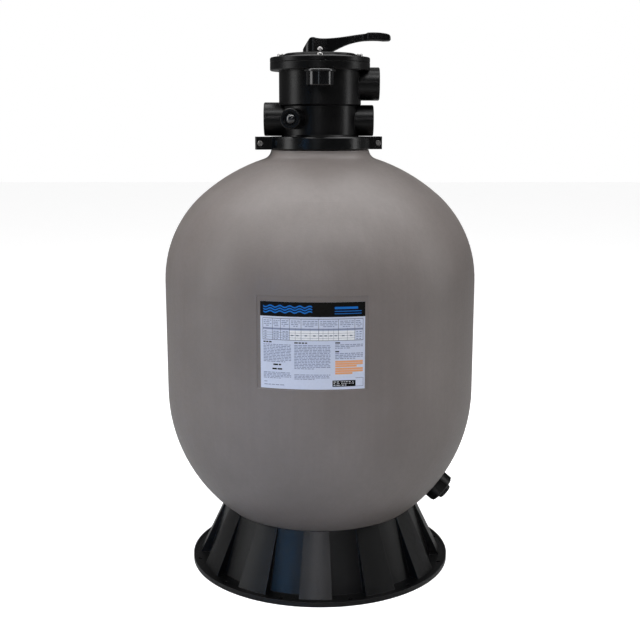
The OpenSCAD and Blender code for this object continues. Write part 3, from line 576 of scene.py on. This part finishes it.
# The floor's colour as the object sees it and as the camera does, and its own glow for the camera
FLOOR_LIT = (0.55, 0.55, 0.55)
FLOOR_SEEN = (0.93, 0.93, 0.935)
FLOOR_GLOW = 0.72

# Strength of the studio's surround, in front of the object, behind it and above it
WORLD_FRONT = 0.045
WORLD_BACK = 0.09
WORLD_TOP = 0.9

# Name, place, point aimed at, size, watts, colour and spread in degrees
ALL_ROUND = 180
SOFTBOXES = (
    ("side_left", (-2.25, -0.55, 1.35), (0, 0, 0.8), (0.9, 2.4), 16, WHITE, ALL_ROUND),
    ("side_right", (2.15, -0.15, 1.35), (0, 0, 0.8), (0.5, 2.4), 10, WHITE, ALL_ROUND),
    ("overhead", (0, 0.4, 3.2), (0, 0, 0.6), (5.0, 1.4), 54, (0.99, 0.99, 1.0), ALL_ROUND),
    ("front_key", (0.0, -1.9, 3.4), (0, 0, 0.5), (5.0, 0.7), 50, WHITE, ALL_ROUND),
    ("front_blue", (-1.5, -2.24, 0.58), (0, 0, 0.0), (0.35, 0.6), 0.30, (0.1, 0.45, 1.0), 34),
    ("front_fill", (-0.15, -2.75, 1.48), (0, 0, 0.0), (0.5, 0.6), 0.75, (1.0, 0.97, 0.99), 40),
    ("front_low", (-0.52, -2.7, 1.06), (0, 0, 0.95), (0.22, 0.6), 0.55, (0.8, 0.9, 1.0), ALL_ROUND),
)


def make_floor():
    """A pale, slightly glossy floor that stays plain in every view."""
    mesh = bpy.data.meshes.new("floor")
    corners = [(x * FLOOR_HALF, y * FLOOR_HALF, 0) for x, y in ((-1, -1), (1, -1), (1, 1), (-1, 1))]
    mesh.from_pydata(corners, [], [(0, 1, 2, 3)])
    floor = bpy.data.objects.new("floor", mesh)
    bpy.context.collection.objects.link(floor)
    m = Maker("floor_white")
    seen = m.camera_ray()
    grain = m.spread(m.noise(3.0, 3.0), 0.3, 0.7, 0.17, 0.19)
    m.finish(Base_Color=m.mix(seen, FLOOR_LIT, FLOOR_SEEN), Roughness=grain,
             Emission_Color=rgba(WHITE), Emission_Strength=m.math("MULTIPLY", seen, FLOOR_GLOW))
    mesh.materials.append(m.material)


def make_world():
    """Soft studio surround: brightest above, dim where the camera stands, and plain white to the camera."""
    world = bpy.data.worlds.new("studio")
    bpy.context.scene.world = world
    world.use_nodes = True
    w = Nodes(world.node_tree)
    split = w.node("ShaderNodeSeparateXYZ")
    w.link(w.node("ShaderNodeTexCoord").outputs["Generated"], split.inputs[0])
    level = w.spread(split.outputs["Y"], -0.75, 0.25, WORLD_FRONT, WORLD_BACK, "SMOOTHSTEP")
    top = w.spread(split.outputs["Z"], 0.55, 1.0, 0.0, WORLD_TOP, "SMOOTHSTEP")
    seen = w.camera_ray()
    light = w.math("MULTIPLY", w.math("ADD", level, top), w.math("SUBTRACT", 1.0, seen))
    back = w.tree.nodes["Background"]
    w.link(w.math("ADD", light, seen), back.inputs["Strength"])
    back.inputs["Color"].default_value = rgba(WHITE)


def softbox(name, place, aim, size, power, colour, spread):
    data = bpy.data.lights.new(name, "AREA")
    data.shape = "RECTANGLE"
    data.size, data.size_y = size
    data.energy = power
    data.color = colour
    data.spread = math.radians(spread)
    box = bpy.data.objects.new(name, data)
    bpy.context.collection.objects.link(box)
    box.location = place
    box.rotation_euler = (Vector(aim) - Vector(place)).to_track_quat("-Z", "Y").to_euler()


def make_camera():
    data = bpy.data.cameras.new("camera")
    data.sensor_width = CAMERA_SENSOR
    data.lens = CAMERA_LENS
    camera = bpy.data.objects.new("camera", data)
    bpy.context.collection.objects.link(camera)
    camera.location = CAMERA_PLACE
    camera.rotation_euler = (math.radians(90 - CAMERA_DOWN), 0, 0)
    bpy.context.scene.camera = camera


make_world()
make_floor()
make_camera()
for row in SOFTBOXES:
    softbox(*row)
bpy.context.scene.view_settings.view_transform = "Standard"

dress_cad_nodes()
soften_handle()
print_label()
print_dial()
